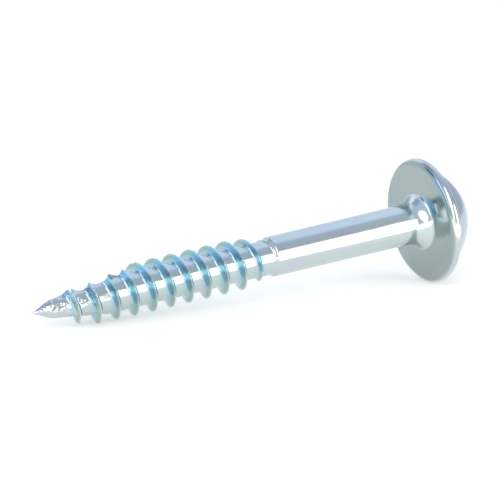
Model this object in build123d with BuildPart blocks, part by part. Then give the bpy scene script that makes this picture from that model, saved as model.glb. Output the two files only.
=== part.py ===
"""Pocket hole screw: a washer-head wood screw for pocket joints, cold-headed and thread-rolled
from one wire, then plated. It is one solid.

Frame: the origin is the centre of the flat bearing face under the head, +Z is up, and the
tip points towards -X. The screw lies as it comes to rest on a table: it touches at the
bottom of the rim and at one thread crest near the tip, so the shaft slopes down to the tip.

All stations along the shaft are measured from the bearing face, positive towards the tip.
Sizes are in millimetres and degrees.
"""

import os
from math import asin, atan2, ceil, cos, floor, hypot, radians, sin, tan

from build123d import *

# Length from the bearing face to the tip: a nominal 1-1/4 inch screw.
screw_length = 31.75

# Washer head: a flat bearing face, a rim that is rounded in front and bevelled behind, a
# step and a low dome with a flat top.
head_diameter = 9.2
head_height = 2.92
rim_front_radius = 0.51
rim_thickness = 0.78
rim_back_bevel = 0.2
dome_base_diameter = 8.1
dome_top_diameter = 4.3
dome_bulge = 0.17

# Square drive recess, a size 2 driver with its usual slight taper.
recess_width = 2.85
recess_depth = 2.3
recess_taper = 1.5
recess_floor_angle = 118

# Plain shank: it flares into the head and ends in a small shoulder.
shank_diameter_at_head = 3.0
shank_diameter_at_thread = 2.9
shank_length = 12.7
shoulder_length = 0.3
flare_length = 1.3
flare_width = 0.6

# Threaded core: straight, then a slender taper, then the point.
core_diameter = 2.53
core_taper_length = 5.7
point_length = 1.3
point_base_diameter = 1.24

# Thread: one right-hand start. The run-in begins at the shoulder, and the crest drops a
# little over the last turns and ends bluntly on the tapered core.
thread_diameter = 3.75
thread_pitch = 1.445
head_flank_angle = 32
tip_flank_angle = 27
run_in_turns = 1.6
crest_taper_length = 8.6
knee_length = 4.7
knee_diameter = 3.56
thread_end_length = 2.64
thread_end_diameter = 2.6
root_overlap = 0.12
longest_stretch = 0.9

# Angle about the shaft, from straight up towards +Y, at which the crest begins.
thread_start_angle = 275

# The starting flute: a V-edged grinding wheel cuts across the first threads on the upper
# side. Its deepest place is flute_length from the tip and flute_height above the axis.
flute_wheel_radius = 6
flute_opening_angle = 110
flute_length = 4.5
flute_height = 0.3
flute_turn = 17

core_radius = core_diameter / 2
thread_radius = thread_diameter / 2
head_radius = head_diameter / 2

# Stations of the thread.
thread_start = shank_length + shoulder_length / 2
run_in_end = thread_start + run_in_turns * thread_pitch
crest_taper_start = screw_length - crest_taper_length
knee = screw_length - knee_length
thread_end = screw_length - thread_end_length
core_taper_start = screw_length - core_taper_length
point_start = screw_length - point_length


def core_radius_at(station):
    """Radius of the threaded core, straight first and then tapering to the point."""
    share = (station - core_taper_start) / (point_start - core_taper_start)
    return core_radius - max(share, 0) * (core_radius - point_base_diameter / 2)


def thread_angle_at(station):
    """Angle about the shaft where the crest passes a station."""
    return thread_start_angle + 360 * (station - thread_start) / thread_pitch


# Crest of the thread, as stations and radii with straight stretches between them. It
# begins just below the core's surface.
crest_line = [
    (thread_start, core_radius - root_overlap / 2),
    (run_in_end, thread_radius),
    (crest_taper_start, thread_radius),
    (knee, knee_diameter / 2),
    (thread_end, thread_end_diameter / 2),
]


def crest_radius_at(station):
    """Radius of the crest: it rises at the run-in, then falls in two steps near the tip."""
    for (start, start_radius), (end, end_radius) in zip(crest_line, crest_line[1:]):
        if station <= end:
            return start_radius + (end_radius - start_radius) * (station - start) / (end - start)
    return crest_line[-1][1]


# Each part of the crest line, cut into stretches shorter than a turn.
thread_stretches = []
for (start, _), (end, _) in zip(crest_line, crest_line[1:]):
    count = ceil((end - start) / (thread_pitch * longest_stretch))
    step = (end - start) / count
    thread_stretches += [(start + i * step, start + (i + 1) * step) for i in range(count)]

# The screw rests on its rim and on the last crest before the knee that passes straight
# below the shaft. Seen from the side, the table is a line that touches the front rounding
# of the rim and that crest.
turns_to_bottom = (180 - thread_start_angle) / 360
last_turn = floor((knee - thread_start) / thread_pitch - turns_to_bottom)
contact_station = thread_start + (turns_to_bottom + last_turn) * thread_pitch
contact_run = contact_station + rim_front_radius
contact_rise = head_radius - rim_front_radius - crest_radius_at(contact_station)
rest_tilt = atan2(contact_rise, contact_run) + asin(rim_front_radius / hypot(contact_run, contact_rise))

# Plane through the shaft: its x runs towards the tip and its y points up.
towards_tip = Vector(-cos(rest_tilt), 0, -sin(rest_tilt))
half_section = Plane(origin=(0, 0, 0), x_dir=towards_tip, z_dir=(0, 1, 0))
shaft_axis = Axis((0, 0, 0), towards_tip)


def section_at(angle):
    """The plane through the shaft, turned about it by an angle."""
    return Plane(half_section.location * Rotation(angle, 0, 0))


def ridge_section(station):
    """Cross-section of the thread where its crest passes a station."""
    root_radius = core_radius_at(station) - root_overlap
    crest_radius = crest_radius_at(station)
    ridge_height = crest_radius - root_radius
    with BuildSketch(section_at(thread_angle_at(station))) as section:
        with BuildLine():
            Polyline(
                (station - ridge_height * tan(radians(head_flank_angle)), root_radius),
                (station, crest_radius),
                (station + ridge_height * tan(radians(tip_flank_angle)), root_radius),
                close=True,
            )
        make_face()
    return section.sketch


def helix_between(start, end):
    """The helical path of the thread from one station to the next."""
    base = Plane(
        origin=towards_tip * start,
        x_dir=section_at(thread_angle_at(start)).y_dir,
        z_dir=towards_tip,
    )
    return base.location * Helix(thread_pitch, end - start, core_radius)


# Corners of the blank's outline, each a station along the shaft and a radius.
rim_front_end = (0, head_radius - rim_front_radius)
rim_edge = (-rim_front_radius, head_radius)
rim_bevel_start = (rim_back_bevel - rim_thickness, head_radius)
rim_bevel_end = (-rim_thickness, head_radius - rim_back_bevel)
dome_base = (-rim_thickness, dome_base_diameter / 2)
dome_top = (-head_height, dome_top_diameter / 2)
flare_start = (0, shank_diameter_at_head / 2 + flare_width)
flare_end = (flare_length, shank_diameter_at_head / 2)
flare_radius = (flare_length**2 + flare_width**2) / (2 * flare_width)
shank_end = (shank_length, shank_diameter_at_thread / 2)
shoulder_end = (shank_length + shoulder_length, core_radius)
core_end = (core_taper_start, core_radius)
point_base = (point_start, point_base_diameter / 2)

# Plane through the axle of the grinding wheel: its x runs along the axle, across the shaft.
flute_plane = section_at(flute_turn)
wheel_half_width = flute_wheel_radius * tan(radians(flute_opening_angle / 2))
wheel_section = Plane(
    origin=flute_plane.from_local_coords((screw_length - flute_length, flute_height + flute_wheel_radius)),
    x_dir=flute_plane.z_dir,
    z_dir=towards_tip,
)

with BuildPart() as screw:
    # Head, shank and core as one round blank.
    with BuildSketch(half_section):
        with BuildLine():
            Polyline((screw_length, 0), (-head_height, 0), dome_top)
            SagittaArc(dome_top, dome_base, dome_bulge)
            Polyline(dome_base, rim_bevel_end, rim_bevel_start, rim_edge)
            RadiusArc(rim_edge, rim_front_end, rim_front_radius)
            Line(rim_front_end, flare_start)
            RadiusArc(flare_start, flare_end, -flare_radius)
            Polyline(flare_end, shank_end, shoulder_end, core_end, point_base, (screw_length, 0))
        make_face()
    revolve(axis=shaft_axis)

    # The thread, drawn out along its helix in stretches of less than a turn.
    for station, next_station in thread_stretches:
        sweep(
            sections=[ridge_section(station), ridge_section(next_station)],
            path=helix_between(station, next_station),
            multisection=True,
            is_frenet=True,
        )

    # Starting flute, the shape of the wheel's edge.
    with BuildSketch(wheel_section):
        with BuildLine():
            Polyline((-wheel_half_width, 0), (0, -flute_wheel_radius), (wheel_half_width, 0), close=True)
        make_face()
    revolve(axis=Axis(wheel_section.origin, wheel_section.x_dir), mode=Mode.SUBTRACT)

    # Square recess, narrowing towards a floor with a drill-like cone.
    with BuildSketch(Plane(towards_tip * -head_height, x_dir=half_section.y_dir, z_dir=towards_tip)):
        Rectangle(recess_width, recess_width)
    extrude(amount=recess_depth, taper=recess_taper, mode=Mode.SUBTRACT)
    recess_floor = recess_depth - head_height
    floor_radius = recess_width / 2 - recess_depth * tan(radians(recess_taper))
    with BuildSketch(half_section):
        with BuildLine():
            Polyline(
                (recess_floor, 0),
                (recess_floor, floor_radius),
                (recess_floor + floor_radius / tan(radians(recess_floor_angle / 2)), 0),
                close=True,
            )
        make_face()
    revolve(axis=shaft_axis, mode=Mode.SUBTRACT)

screw.part.label = "screw"
os.makedirs("parts", exist_ok=True)
export_step(screw.part, "parts/screw.step")
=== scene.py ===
from math import asin, atan2, ceil, cos, degrees, floor, hypot, pi, radians, sin, sqrt, tan

import bmesh
import bpy
from mathutils import Matrix, Vector


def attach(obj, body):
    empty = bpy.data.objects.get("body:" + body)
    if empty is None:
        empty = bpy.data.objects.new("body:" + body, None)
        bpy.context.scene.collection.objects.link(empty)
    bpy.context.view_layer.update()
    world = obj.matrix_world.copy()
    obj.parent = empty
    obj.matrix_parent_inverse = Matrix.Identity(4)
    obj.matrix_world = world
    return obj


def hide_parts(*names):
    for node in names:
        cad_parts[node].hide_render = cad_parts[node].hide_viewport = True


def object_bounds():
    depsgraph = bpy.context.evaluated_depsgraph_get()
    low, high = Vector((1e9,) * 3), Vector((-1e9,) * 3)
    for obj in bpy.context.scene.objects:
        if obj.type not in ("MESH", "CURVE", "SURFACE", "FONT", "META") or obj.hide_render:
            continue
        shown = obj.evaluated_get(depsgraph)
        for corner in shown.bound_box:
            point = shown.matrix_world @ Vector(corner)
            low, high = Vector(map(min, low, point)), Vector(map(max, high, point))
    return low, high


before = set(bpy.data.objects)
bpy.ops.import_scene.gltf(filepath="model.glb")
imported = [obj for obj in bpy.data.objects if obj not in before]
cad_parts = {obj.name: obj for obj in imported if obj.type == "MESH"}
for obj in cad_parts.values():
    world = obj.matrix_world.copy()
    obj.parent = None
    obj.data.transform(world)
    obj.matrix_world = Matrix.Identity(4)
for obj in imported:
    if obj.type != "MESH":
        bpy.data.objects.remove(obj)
cad_low, cad_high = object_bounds()


# ---- Screw ----
# A washer-head wood screw in one piece: the blank is cold-headed from steel wire, the thread
# is rolled onto its core, the first threads are ground away on one side, and the whole is
# zinc plated. Sizes in millimetres, stations from the flat bearing face towards the tip.
screw_length = 31.75

head_radius = 4.6
head_height = 2.92
rim_thickness = 0.78
rim_front_rounding = 0.51
rim_back_rounding = 0.25
dome_base_radius = 4.05
dome_top_radius = 2.15
dome_bulge = 0.17
dome_edge_rounding = 0.15
groove_rounding = 0.12

recess_half_width = 1.425
recess_depth = 2.3
recess_taper = 1.5
recess_point_depth = 0.8
recess_lip = 0.09
recess_corner_power = 24

shank_radius_at_head = 1.5
shank_radius_at_thread = 1.45
shank_length = 12.7
shoulder_length = 0.3
flare_length = 1.3
flare_width = 0.6
flare_edge_rounding = 0.12

core_radius = 1.265
core_taper_start = screw_length - 5.7
core_taper_softness = 0.04
point_length = 1.3
point_base_radius = 0.62
point_softness = 0.09

thread_radius = 1.875
thread_pitch = 1.445
head_flank_angle = 26
tip_flank_angle = 25
thread_start_angle = 275
thread_start_radius = 1.205
run_in_turns = 1.6
crest_taper_length = 8.6
knee_length = 4.7
knee_radius = 1.78
thread_end_length = 2.64
thread_end_radius = 1.3
crest_softness = 0.05
root_softness = 0.2

flute_wheel_radius = 6
flute_opening_angle = 110
flute_length = 4.5
flute_height = 0.3
flute_turn = 17

# Crest of the thread, as stations and radii: it rises at the run-in, keeps its height and
# falls in two steps near the tip.
thread_start = shank_length + shoulder_length / 2
knee = screw_length - knee_length
crest_line = [
    (thread_start, thread_start_radius),
    (thread_start + run_in_turns * thread_pitch, thread_radius),
    (screw_length - crest_taper_length, thread_radius),
    (knee, knee_radius),
    (screw_length - thread_end_length, thread_end_radius),
]


def crest_radius_at(station):
    """Radius of the crest where it passes a station, nothing past the last thread."""
    for (start, start_radius), (end, end_radius) in zip(crest_line, crest_line[1:]):
        if start <= station <= end:
            return start_radius + (end_radius - start_radius) * (station - start) / (end - start)
    return 0


# The screw rests on its rim and on the last crest before the knee that passes straight
# below the shaft, so the shaft slopes down to the tip.
turns_to_bottom = (180 - thread_start_angle) / 360
last_turn = floor((knee - thread_start) / thread_pitch - turns_to_bottom)
contact_station = thread_start + (turns_to_bottom + last_turn) * thread_pitch
contact_run = contact_station + rim_front_rounding
contact_rise = head_radius - rim_front_rounding - crest_radius_at(contact_station)
rest_tilt = (atan2(contact_rise, contact_run)
             + asin(rim_front_rounding / hypot(contact_run, contact_rise)))

# From shaft coordinates in millimetres (x to the tip, y up, z to the back) to the frame.
shaft_to_frame = Matrix((
    (-cos(rest_tilt), -sin(rest_tilt), 0, 0),
    (0, 0, 1, 0),
    (-sin(rest_tilt), cos(rest_tilt), 0, 0),
    (0, 0, 0, 1),
))
metres = Matrix.Scale(0.001, 4)


def soft_max(a, b, width):
    """The larger of two numbers, rounded off where they cross."""
    gap = max(width - abs(a - b), 0) / width
    return max(a, b) + gap * gap * width / 4


def soft_min(a, b, width):
    """The smaller of two numbers, rounded off where they cross."""
    return -soft_max(-a, -b, width)


def fade(value, start, end):
    """From 0 to 1 between two values, softly."""
    share = min(max((value - start) / (end - start), 0), 1)
    return share * share * (3 - 2 * share)


def shaft_radius(station):
    """Radius of the blank under the thread: shank, shoulder, core, slender taper, point."""
    narrowing = (shank_radius_at_thread - shank_radius_at_head) / shank_length
    shank = shank_radius_at_head + narrowing * station
    shoulder = fade(station, shank_length, shank_length + shoulder_length)
    straight = shank + (core_radius - shank) * shoulder
    taper_length = screw_length - point_length - core_taper_start
    taper_share = (station - core_taper_start) / taper_length
    taper = core_radius - (core_radius - point_base_radius) * taper_share
    point = (screw_length - station) * point_base_radius / point_length
    return soft_min(soft_min(straight, taper, core_taper_softness), point, point_softness)


def in_wheel(station, angle, radius):
    """Whether the V edge of the grinding wheel passes through a place on the shaft."""
    turn = radians(angle - flute_turn)
    height = flute_height + flute_wheel_radius - radius * cos(turn)
    edge_slope = tan(radians(flute_opening_angle / 2))
    reach = flute_wheel_radius - abs(radius * sin(turn)) / edge_slope
    return hypot(height, station - (screw_length - flute_length)) < reach


def nearest_crest(station, angle):
    """Station where the crest passes an angle nearest to a place on the shaft."""
    turns = (angle - thread_start_angle) / 360
    nearest = round((station - thread_start) / thread_pitch - turns)
    return thread_start + (nearest + turns) * thread_pitch


def threaded_radius(station, angle):
    """Radius of the rolled and ground surface at a station and an angle about the shaft."""
    crest_station = nearest_crest(station, angle)
    offset = station - crest_station
    base = shaft_radius(station)
    crest = crest_radius_at(crest_station)
    head_flank = crest + offset / tan(radians(head_flank_angle))
    tip_flank = crest - offset / tan(radians(tip_flank_angle))
    ridge = soft_min(head_flank, tip_flank, crest_softness)
    surface = soft_max(base, ridge, root_softness) if crest else base
    if not in_wheel(station, angle, surface):
        return surface
    # Where the wheel cuts, its edge is found by halving the way from the axis.
    halvings = 12
    low, high = 0, surface
    for _ in range(halvings):
        middle = (low + high) / 2
        low, high = (low, middle) if in_wheel(station, angle, middle) else (middle, high)
    return low


# Threaded part: a line one pitch long is wound along the helix, so that its rows follow the
# thread, and every vertex is then set to the radius of the rolled surface. The sheet starts
# on the shank and ends at a tiny flat, and both ends are cut straight.
sheet_start = 11
sheet_steps = 112
rows_per_pitch = 32
sheet_turns = ceil((screw_length - sheet_start) / thread_pitch) + 1
seam_before_shoulder = 0.35
shank_seam = shank_length - seam_before_shoulder
tip_flat = 0.04

bm = bmesh.new()
ends = [bm.verts.new((sheet_start - thread_pitch * share, 1, 0)) for share in (0.5, -0.5)]
line = bm.edges.new(ends)
bmesh.ops.subdivide_edges(bm, edges=[line], cuts=rows_per_pitch - 1)
start_turn = (sheet_start - thread_start) / thread_pitch + thread_start_angle / 360
bmesh.ops.rotate(
    bm, verts=bm.verts, cent=(0, 0, 0), matrix=Matrix.Rotation(start_turn * 2 * pi, 3, "X"),
)
bmesh.ops.spin(
    bm, geom=bm.verts[:] + bm.edges[:], cent=(0, 0, 0), axis=(1, 0, 0),
    dvec=(thread_pitch / sheet_steps, 0, 0), angle=2 * pi,
    steps=sheet_steps, use_merge=False, use_duplicate=False,
)
first_turn = bm.verts[:] + bm.edges[:] + bm.faces[:]
for turn in range(1, sheet_turns):
    copied = bmesh.ops.duplicate(bm, geom=first_turn)["geom"]
    bmesh.ops.translate(
        bm, vec=(turn * thread_pitch, 0, 0),
        verts=[g for g in copied if isinstance(g, bmesh.types.BMVert)],
    )
bmesh.ops.remove_doubles(bm, verts=bm.verts, dist=1e-4)
for station, side in ((shank_seam, -1), (screw_length - tip_flat, 1)):
    bmesh.ops.bisect_plane(
        bm, geom=bm.verts[:] + bm.edges[:] + bm.faces[:], dist=1e-5,
        plane_co=(station, 0, 0), plane_no=(side, 0, 0), clear_outer=True,
    )
for vert in bm.verts:
    angle = atan2(vert.co.z, vert.co.y)
    radius = threaded_radius(vert.co.x, degrees(angle))
    vert.co.y = radius * cos(angle)
    vert.co.z = radius * sin(angle)
tip_ring = [e for e in bm.edges if e.is_boundary and e.verts[0].co.x > screw_length - 1]
bmesh.ops.holes_fill(bm, edges=tip_ring, sides=0)
seam_ring = [e for e in bm.edges if e.is_boundary]

# Head and shank: the outline is spun, then its corners are rounded like the forged ones.
# It begins at the ring that becomes the mouth of the recess. The margins keep a straight
# stretch beside each rounding.
head_steps = 96
dome_steps = 9
flare_steps = 10
mouth_ring_width = 0.16
rim_margin = 0.06
flare_margin = 0.2
flare_end_margin = 0.15
seam_margin = 0.2
outline = [(-head_height, dome_top_radius - mouth_ring_width), (-head_height, dome_top_radius)]
dome_run, dome_rise = head_height - rim_thickness, dome_base_radius - dome_top_radius
dome_chord = hypot(dome_run, dome_rise)
for step in range(1, dome_steps):
    share = step / dome_steps
    push = 4 * share * (1 - share) * dome_bulge
    outline.append((
        -head_height + dome_run * share - push * dome_rise / dome_chord,
        dome_top_radius + dome_rise * share + push * dome_run / dome_chord,
    ))
outline += [
    (-rim_thickness, dome_base_radius),
    (-rim_thickness, head_radius),
    (0, head_radius),
    (0, head_radius - rim_front_rounding - rim_margin),
    (0, shank_radius_at_head + flare_width + flare_margin),
    (0, shank_radius_at_head + flare_width),
]
flare_radius = (flare_length**2 + flare_width**2) / (2 * flare_width)
for step in range(1, flare_steps + 1):
    station = flare_length * step / flare_steps
    rise = sqrt(flare_radius**2 - (flare_length - station) ** 2)
    outline.append((station, shank_radius_at_head + flare_radius - rise))
for station in (flare_length + flare_end_margin, shank_seam - seam_margin):
    outline.append((station, shaft_radius(station)))

profile = [bm.verts.new((station, radius, 0)) for station, radius in outline]
profile_edges = [bm.edges.new(pair) for pair in zip(profile, profile[1:])]
bmesh.ops.spin(
    bm, geom=profile + profile_edges, cent=(0, 0, 0), axis=(1, 0, 0),
    dvec=(0, 0, 0), angle=2 * pi, steps=head_steps, use_merge=True, use_duplicate=False,
)


def ring_edges(station, radius):
    """Edges of the ring at a station and a radius."""
    def on_ring(vert):
        off_radius = abs(hypot(vert.co.y, vert.co.z) - radius)
        return abs(vert.co.x - station) < 1e-3 and off_radius < 1e-3

    return [e for e in bm.edges if all(on_ring(v) for v in e.verts)]


for station, radius, rounding, segments in (
    (0, head_radius, rim_front_rounding, 9),
    (-rim_thickness, head_radius, rim_back_rounding, 5),
    (-rim_thickness, dome_base_radius, groove_rounding, 4),
    (-head_height, dome_top_radius, dome_edge_rounding, 4),
    (0, shank_radius_at_head + flare_width, flare_edge_rounding, 3),
):
    bmesh.ops.bevel(
        bm, geom=ring_edges(station, radius), offset=rounding, segments=segments,
        profile=0.5, affect="EDGES", material=-1,
    )


def drawn_in(ring, station, half_width):
    """A new ring of the recess, drawn from the last one: a square with soft corners."""
    made = bmesh.ops.extrude_edge_only(bm, edges=ring)["geom"]
    power = recess_corner_power
    for vert in [g for g in made if isinstance(g, bmesh.types.BMVert)]:
        angle = atan2(vert.co.z, vert.co.y)
        radius = half_width / (abs(cos(angle)) ** power + abs(sin(angle)) ** power) ** (1 / power)
        vert.co = (station, radius * cos(angle), radius * sin(angle))
    return [g for g in made if isinstance(g, bmesh.types.BMEdge) and g.is_boundary]


# Square recess: the inner ring of the flat back is drawn over a soft lip, down the tapering
# walls, round a soft edge and to the point of the floor. Each ring is a depth and half a
# width, and the last one leaves a small hole at the point to fill.
floor_half_width = recess_half_width - recess_depth * tan(radians(recess_taper))
floor_edge_softness = 0.05
point_hole_share = 0.03
point_depth = recess_depth + recess_point_depth * (1 - point_hole_share)
ring = [e for e in bm.edges if e.is_boundary and e.verts[0].co.x < -rim_thickness]
for depth, half_width in (
    (0, recess_half_width + recess_lip),
    (0.25 * recess_lip, recess_half_width + 0.4 * recess_lip),
    (recess_lip, recess_half_width),
    (recess_depth - floor_edge_softness, floor_half_width + 0.01),
    (recess_depth, floor_half_width - floor_edge_softness),
    (point_depth, floor_half_width * point_hole_share),
):
    ring = drawn_in(ring, depth - head_height, half_width)
bmesh.ops.holes_fill(bm, edges=ring, sides=0)

shank_ring = [e for e in bm.edges if e.is_boundary and e not in seam_ring]
bmesh.ops.bridge_loops(bm, edges=seam_ring + shank_ring)
bmesh.ops.recalc_face_normals(bm, faces=bm.faces)
for face in bm.faces:
    face.smooth = True

# Where the plating differs, and where reflections, highlights and shade are painted into it, is
# kept on the mesh as masks.
# Across the thread each mask fades in and out between offsets from the crest, which are positive
# towards the tip. The others go by station and radius: bearing face, groove behind the rim, dome,
# neck, ground point.
thread_bands = {
    "crest": (-0.10, -0.05, 0.01, 0.06),
    "outer_flank": (-0.02, 0.03, 0.15, 0.28),
    "flank": (0.13, 0.24, 0.38, 0.55),
    "back_flank": (-0.36, -0.28, -0.16, -0.10),
}
masks = {
    name: bm.verts.layers.float.new(name)
    for name in (*thread_bands, "bearing_face", "groove", "dome", "neck", "ground")
}


def band(value, start, full, still_full, end):
    """A mask that fades in between its first two limits and out between its last two."""
    return fade(value, start, full) * fade(value, end, still_full)


for vert in bm.verts:
    station, radius = vert.co.x, hypot(vert.co.y, vert.co.z)
    crest_station = nearest_crest(station, degrees(atan2(vert.co.z, vert.co.y)))
    crest_radius = crest_radius_at(crest_station)
    if crest_radius:
        ridge_there = fade(crest_radius - shaft_radius(station), 0.02, 0.4)
        for name, limits in thread_bands.items():
            vert[masks[name]] = ridge_there * band(station - crest_station, *limits)
    vert[masks["bearing_face"]] = fade(radius, 1.9, 2.2) * band(station, -0.3, -0.1, 0.2, 0.6)
    vert[masks["groove"]] = band(radius, 3.7, 4.0, 4.45, 4.56) * fade(station, -0.35, -0.6)
    vert[masks["dome"]] = fade(station, -0.75, -1)
    vert[masks["neck"]] = fade(radius, 2.15, 1.95) * band(station, -0.1, 0, 1.2, 1.6)
    vert[masks["ground"]] = fade(station, screw_length - 6, screw_length - 3)

bmesh.ops.transform(bm, matrix=metres @ shaft_to_frame, verts=bm.verts)

sharp_angle = 50
screw_mesh = bpy.data.meshes.new("plated_screw")
bm.to_mesh(screw_mesh)
bm.free()
screw_mesh.set_sharp_from_angle(angle=radians(sharp_angle))
screw = bpy.data.objects.new("plated_screw", screw_mesh)
bpy.context.scene.collection.objects.link(screw)

# Bright zinc with a clear blue passivate: a cool metal with faint lilac and green clouds, and
# warmer in the groove. Light is painted into it as well: blue painted reflections on the flanks,
# a darker grey-green painted shade on the bearing face and the outer flanks, a painted highlight
# on the neck, and a painted highlight along the crest.
zinc_grey = (0.55, 0.62, 0.62, 1)
cloud_lilac = (0.56, 0.57, 0.68, 1)
cloud_green = (0.52, 0.62, 0.58, 1)
dome_grey = (0.48, 0.53, 0.58, 1)
face_shade_grey = (0.22, 0.28, 0.265, 1)
painted_neck_highlight = (0.63, 0.71, 0.72, 1)
outer_flank_reflection = (0.38, 0.49, 0.46, 1)
flank_reflection_blue = (0.44, 0.60, 0.67, 1)
back_flank_reflection_blue = (0.33, 0.58, 0.78, 1)
painted_crest_highlight = (0.68, 0.80, 0.86, 1)
groove_gold = (0.72, 0.61, 0.44, 1)
face_shade_share = 0.6

zinc = bpy.data.materials.new("blue_zinc")
zinc.use_nodes = True
nodes, links = zinc.node_tree.nodes, zinc.node_tree.links
shader = nodes["Principled BSDF"]
shader.inputs["Metallic"].default_value = 1


def shaft_coordinates(scale):
    """Object coordinates in millimetres with x along the shaft, stretched by a scale."""
    place = nodes.new("ShaderNodeTexCoord")
    lie = nodes.new("ShaderNodeMapping")
    lie.inputs["Rotation"].default_value = (0, rest_tilt, 0)
    lie.inputs["Scale"].default_value = (1000, 1000, 1000)
    stretch = nodes.new("ShaderNodeMapping")
    stretch.inputs["Scale"].default_value = scale
    links.new(place.outputs["Object"], lie.inputs["Vector"])
    links.new(lie.outputs["Vector"], stretch.inputs["Vector"])
    return stretch.outputs["Vector"]


def noise(scale, detail, roughness):
    """A noise pattern on the shaft's coordinates, its scale in lumps per millimetre."""
    pattern = nodes.new("ShaderNodeTexNoise")
    pattern.inputs["Scale"].default_value = 1
    pattern.inputs["Detail"].default_value = detail
    pattern.inputs["Roughness"].default_value = roughness
    links.new(shaft_coordinates(scale), pattern.inputs["Vector"])
    return pattern.outputs["Fac"]


def between(value, low, high, to_low, to_high):
    """A value stretched from one range to another, and kept in it."""
    remap = nodes.new("ShaderNodeMapRange")
    for name, number in (
        ("From Min", low), ("From Max", high), ("To Min", to_low), ("To Max", to_high),
    ):
        remap.inputs[name].default_value = number
    links.new(value, remap.inputs["Value"])
    return remap.outputs["Result"]


def tinted(colour, tint, mask):
    """A colour, turned to a tint where the mask is 1."""
    mix = nodes.new("ShaderNodeMix")
    mix.data_type = "RGBA"
    if isinstance(colour, tuple):
        mix.inputs["A"].default_value = colour
    else:
        links.new(colour, mix.inputs["A"])
    mix.inputs["B"].default_value = tint
    links.new(mask, mix.inputs["Factor"])
    return mix.outputs["Result"]


def painted(name):
    """A mask kept on the mesh."""
    layer = nodes.new("ShaderNodeAttribute")
    layer.attribute_name = name
    return layer.outputs["Fac"]


def calculated(operation, a, b):
    """Two values put through a sum or a product. The second may be a plain number."""
    node = nodes.new("ShaderNodeMath")
    node.operation = operation
    links.new(a, node.inputs[0])
    if isinstance(b, (int, float)):
        node.inputs[1].default_value = b
    else:
        links.new(b, node.inputs[1])
    return node.outputs[0]


def product(a, b):
    """Two masks, or a mask and a number, multiplied."""
    return calculated("MULTIPLY", a, b)


def total(a, b):
    """Two values added."""
    return calculated("ADD", a, b)


lilac_cloud = between(noise((0.30, 0.5, 0.5), 3, 0.5), 0.45, 0.62, 0, 0.9)
green_cloud = between(noise((0.22, 0.7, 0.7), 3, 0.5), 0.48, 0.66, 0, 0.9)
gold_fleck = between(noise((0.7, 0.7, 0.7), 2, 0.5), 0.42, 0.68, 0, 0.8)
colour = tinted(zinc_grey, cloud_lilac, lilac_cloud)
colour = tinted(colour, cloud_green, green_cloud)
colour = tinted(colour, dome_grey, painted("dome"))
# Painted shade: the bearing face is darkened to grey-green for the dim reflection it shows.
colour = tinted(colour, face_shade_grey, product(painted("bearing_face"), face_shade_share))
# Painted reflections on the thread: grey-green on the outer flanks, blue on the flanks and the
# back flanks.
colour = tinted(colour, outer_flank_reflection, painted("outer_flank"))
colour = tinted(colour, flank_reflection_blue, painted("flank"))
colour = tinted(colour, back_flank_reflection_blue, painted("back_flank"))
# Painted highlight: the neck is lightened.
colour = tinted(colour, painted_neck_highlight, painted("neck"))
# Painted highlight: a pale line along the crest.
colour = tinted(colour, painted_crest_highlight, painted("crest"))
colour = tinted(colour, groove_gold, product(painted("groove"), gold_fleck))
links.new(colour, shader.inputs["Base Color"])

# The fine grain of the plating sets how sharply it mirrors, and a little more haze lies on
# the bearing face and the outer flanks.
grain = noise((14, 14, 14), 2, 0.6)
sharpest, dullest = 0.12, 0.20
face_haze, flank_haze = 0.02, 0.05
haze = product(painted("bearing_face"), face_haze)
haze = total(haze, product(painted("outer_flank"), flank_haze))
dullness = total(between(grain, 0.3, 0.7, sharpest, dullest), haze)
links.new(dullness, shader.inputs["Roughness"])

# Relief: lines along the drawn wire, the grain, slow waves, and dents on the ground part.
# The heights are in steps of relief_step metres.
relief_step = 0.000006
line_height, grain_height, wave_height, dent_height = 0.8, 0.12, 3, 34
drawn_lines = noise((0.12, 5, 5), 2, 0.5)
waves = noise((0.5, 0.9, 0.9), 1, 0.5)
dents = product(painted("ground"), noise((1.1, 1.5, 1.5), 2, 0.55))
relief = total(product(drawn_lines, line_height), product(grain, grain_height))
relief = total(relief, product(waves, wave_height))
relief = total(relief, product(dents, dent_height))
bump = nodes.new("ShaderNodeBump")
bump.inputs["Strength"].default_value = 1
bump.inputs["Distance"].default_value = relief_step
links.new(relief, bump.inputs["Height"])
links.new(bump.outputs["Normal"], shader.inputs["Normal"])
screw_mesh.materials.append(zinc)

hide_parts("screw")
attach(screw, "root")


# ---- Floor ----
# A plain pale table top under the screw, which is not part of the object. It glows a little
# where the camera or the metal sees it, so that it comes out white and keeps its shadows.
# Sizes are in metres from here on.
table_size = 3
table_colour = (0.93, 0.89, 0.81, 1)
table_glow = 0.28

bpy.ops.mesh.primitive_plane_add(size=table_size, location=(0, 0, cad_low.z))
table = bpy.context.object
table.name = "table_top"
table_white = bpy.data.materials.new("table_white")
table_white.use_nodes = True
nodes, links = table_white.node_tree.nodes, table_white.node_tree.links
paint = nodes["Principled BSDF"]
paint.inputs["Base Color"].default_value = table_colour
paint.inputs["Roughness"].default_value = 0.9
paint.inputs["Specular IOR Level"].default_value = 0
path = nodes.new("ShaderNodeLightPath")
seen = nodes.new("ShaderNodeMath")
seen.operation = "MAXIMUM"
links.new(path.outputs["Is Camera Ray"], seen.inputs[0])
links.new(path.outputs["Is Glossy Ray"], seen.inputs[1])
glow = nodes.new("ShaderNodeMath")
glow.operation = "MULTIPLY"
glow.inputs[1].default_value = table_glow
links.new(seen.outputs[0], glow.inputs[0])
paint.inputs["Emission Color"].default_value = (1, 1, 1, 1)
links.new(glow.outputs[0], paint.inputs["Emission Strength"])
table.data.materials.append(table_white)


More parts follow.
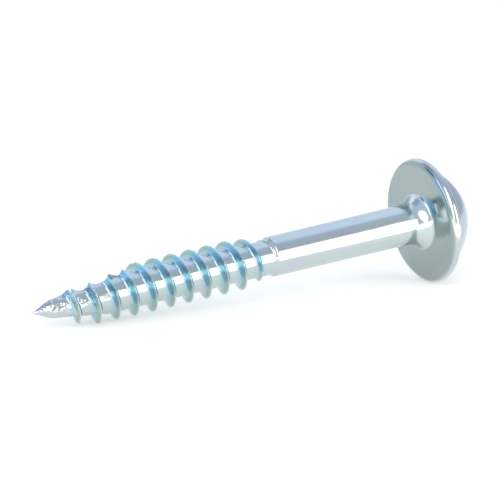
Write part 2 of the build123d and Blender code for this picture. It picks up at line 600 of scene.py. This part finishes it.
# ---- Light ----
# Three soft panels round the screw, in front on the right, above the camera and beyond the
# tip, a small one that lies on the table in front, and a pale room that the metal mirrors.
def direction(azimuth, elevation):
    """Unit vector of a direction seen from the screw. Azimuth 0 is -Y and 90 is +X."""
    a, e = radians(azimuth), radians(elevation)
    return Vector((sin(a) * cos(e), -cos(a) * cos(e), sin(e)))


def soft_panel(name, shape, width, height, watts, colour):
    """A soft light with its object, not yet placed. It shines along its own -Z."""
    lamp = bpy.data.lights.new(name, "AREA")
    lamp.shape = shape
    lamp.size = width
    lamp.size_y = height
    lamp.energy = watts
    lamp.color = colour
    panel = bpy.data.objects.new(name, lamp)
    bpy.context.scene.collection.objects.link(panel)
    return panel


def face_screw(panel, azimuth, elevation, distance, roll):
    """Places a panel in a direction from the screw, turned to face it."""
    away = direction(azimuth, elevation)
    panel.location = away * distance
    facing = away.to_track_quat("Z", "Y").to_matrix() @ Matrix.Rotation(radians(roll), 3, "Z")
    panel.rotation_euler = facing.to_euler()


front_panel = soft_panel("front_panel", "RECTANGLE", 0.3, 0.28, 0.62, (1, 0.99, 0.96))
face_screw(front_panel, azimuth=27, elevation=15, distance=0.5, roll=0)
upper_panel = soft_panel("upper_panel", "ELLIPSE", 0.24, 0.46, 0.62, (0.97, 0.98, 1))
face_screw(upper_panel, azimuth=328, elevation=30, distance=0.4, roll=0)
strip_panel = soft_panel("strip_panel", "RECTANGLE", 0.05, 0.3, 0.14, (0.97, 0.98, 1))
face_screw(strip_panel, azimuth=277, elevation=24, distance=0.4, roll=45)

# The panel on the table shines up and fills the underside of the screw.
table_panel = soft_panel("table_panel", "RECTANGLE", 0.12, 0.08, 0.045, (1, 0.99, 0.97))
table_panel.location = (0.01, -0.053, cad_low.z + 0.0001)
table_panel.rotation_euler = (pi, 0, 0)
table_panel.visible_camera = False

front_wall = (0.60, 0.60, 0.60, 1)
back_wall = (0.90, 0.98, 1.18, 1)
ceiling = (0.54, 0.66, 0.80, 1)

world = bpy.data.worlds.new("pale_room")
bpy.context.scene.world = world
world.use_nodes = True
nodes, links = world.node_tree.nodes, world.node_tree.links
room = nodes["Background"]
room.inputs["Strength"].default_value = 1
looking = nodes.new("ShaderNodeTexCoord").outputs["Generated"]
axes = nodes.new("ShaderNodeSeparateXYZ")
links.new(looking, axes.inputs["Vector"])
room_colour = tinted(front_wall, back_wall, between(axes.outputs["Y"], -0.6, 0.6, 0, 1))
room_colour = tinted(room_colour, ceiling, between(axes.outputs["Z"], 0.5, 1, 0, 1))


def round_patch(azimuth, elevation, inner, outer):
    """A mask that is 1 within some degrees of a direction and fades softly to 0."""
    aim = nodes.new("ShaderNodeVectorMath")
    aim.operation = "DOT_PRODUCT"
    aim.inputs[1].default_value = direction(azimuth, elevation)
    links.new(looking, aim.inputs[0])
    edge = nodes.new("ShaderNodeMapRange")
    edge.interpolation_type = "SMOOTHSTEP"
    edge.inputs["From Min"].default_value = cos(radians(outer))
    edge.inputs["From Max"].default_value = cos(radians(inner))
    links.new(aim.outputs["Value"], edge.inputs["Value"])
    return edge.outputs["Result"]


# Brighter and darker places of the room, each one over the last: azimuth, elevation,
# radius of the full patch, radius where it ends, and colour.
for azimuth, elevation, inner, outer, patch_colour in (
    (208, 8, 10, 24, (0.86, 1.00, 1.00, 1)),
    (118, 6, 14, 30, (0.60, 0.67, 0.80, 1)),
    (58, 26, 8, 14, (0.10, 0.28, 0.42, 1)),
    (248, 8, 14, 22, (0.50, 1.00, 1.60, 1)),
    (272, 8, 8, 14, (0.26, 0.56, 0.86, 1)),
    (238, 33, 6, 14, (0.14, 0.17, 0.22, 1)),
    (206, 60, 12, 22, (0.40, 0.46, 0.54, 1)),
    (128, 60, 8, 30, (0.90, 1.02, 1.22, 1)),
    (182, 40, 6, 14, (1.15, 1.10, 1.30, 1)),
):
    room_colour = tinted(room_colour, patch_colour, round_patch(azimuth, elevation, inner, outer))
links.new(room_colour, room.inputs["Color"])


# ---- Camera ----
# It stands at the photograph's viewing angle. The lens gives the photograph's perspective,
# and the offsets are in millimetres from the centre of the bearing face, along the
# camera's own axes.
camera_azimuth = 330
camera_elevation = 12.04
camera_right = -12.354
camera_up = -2.097
camera_back = 243.83

camera_data = bpy.data.cameras.new("camera")
camera_data.lens = 240
camera_data.sensor_width = 36
camera_data.clip_start = 0.01
camera_data.clip_end = 20
camera = bpy.data.objects.new("camera", camera_data)
towards_camera = direction(camera_azimuth, camera_elevation)
camera.rotation_euler = towards_camera.to_track_quat("Z", "Y").to_euler()
camera_axes = camera.rotation_euler.to_matrix()
camera.location = camera_axes @ Vector((camera_right, camera_up, camera_back)) * 0.001
bpy.context.scene.collection.objects.link(camera)
bpy.context.scene.camera = camera
bpy.context.scene.view_settings.view_transform = "Standard"
